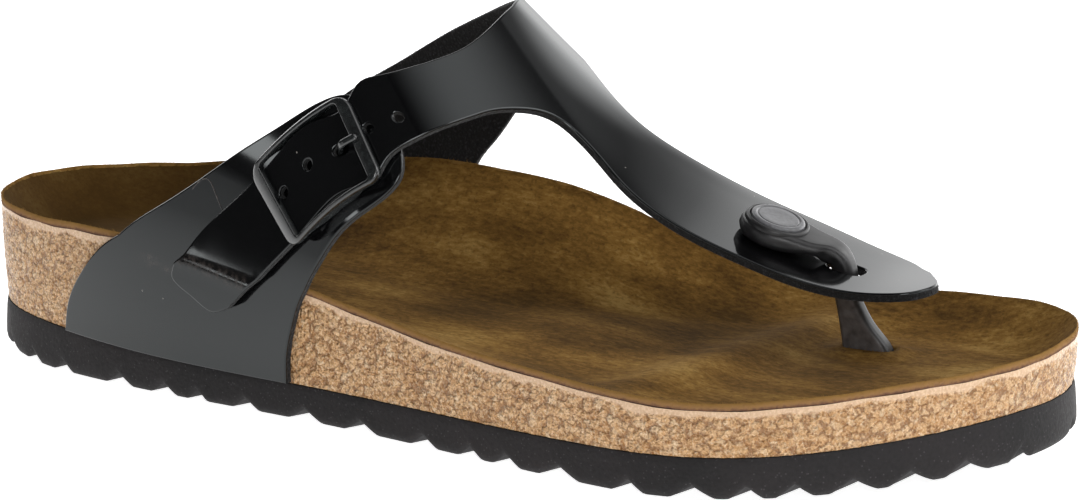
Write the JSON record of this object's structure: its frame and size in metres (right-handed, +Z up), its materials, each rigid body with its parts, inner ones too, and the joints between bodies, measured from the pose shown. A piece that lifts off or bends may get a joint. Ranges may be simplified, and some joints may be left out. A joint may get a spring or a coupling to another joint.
{
  "type": "toe post sandal",
  "caption": "Right toe post sandal: contoured cork footbed lined with suede on a lugged sole, glossy black T-strap fastened by a side buckle and held between the toes by a post.",
  "frame": {"origin": "bottom centre of the sandal's bounding box, on the floor", "axes": "+X from heel to toe, +Y to the medial side (towards the other foot), +Z up from the floor"},
  "size_m": [0.2662, 0.0976, 0.0893],
  "materials": {
    "outsole": "matt charcoal foam rubber with a fine speckle",
    "footbed": "lacquered pressed cork granules",
    "insole": "olive brown suede",
    "upper": "black patent with a felt lining",
    "buckle": "satin black",
    "toe_post": "satin black moulded rubber",
    "button": "satin dark grey"
  },
  "bodies": {
    "root": {"outsole": "outsole", "footbed": "footbed", "insole": "insole", "upper_t_strap": "upper", "upper_buckle_panel": "upper", "buckle_frame": "buckle", "buckle_prong": "buckle", "toe_post": "toe_post", "toe_post_button": "button"}
  },
  "joints": []
}
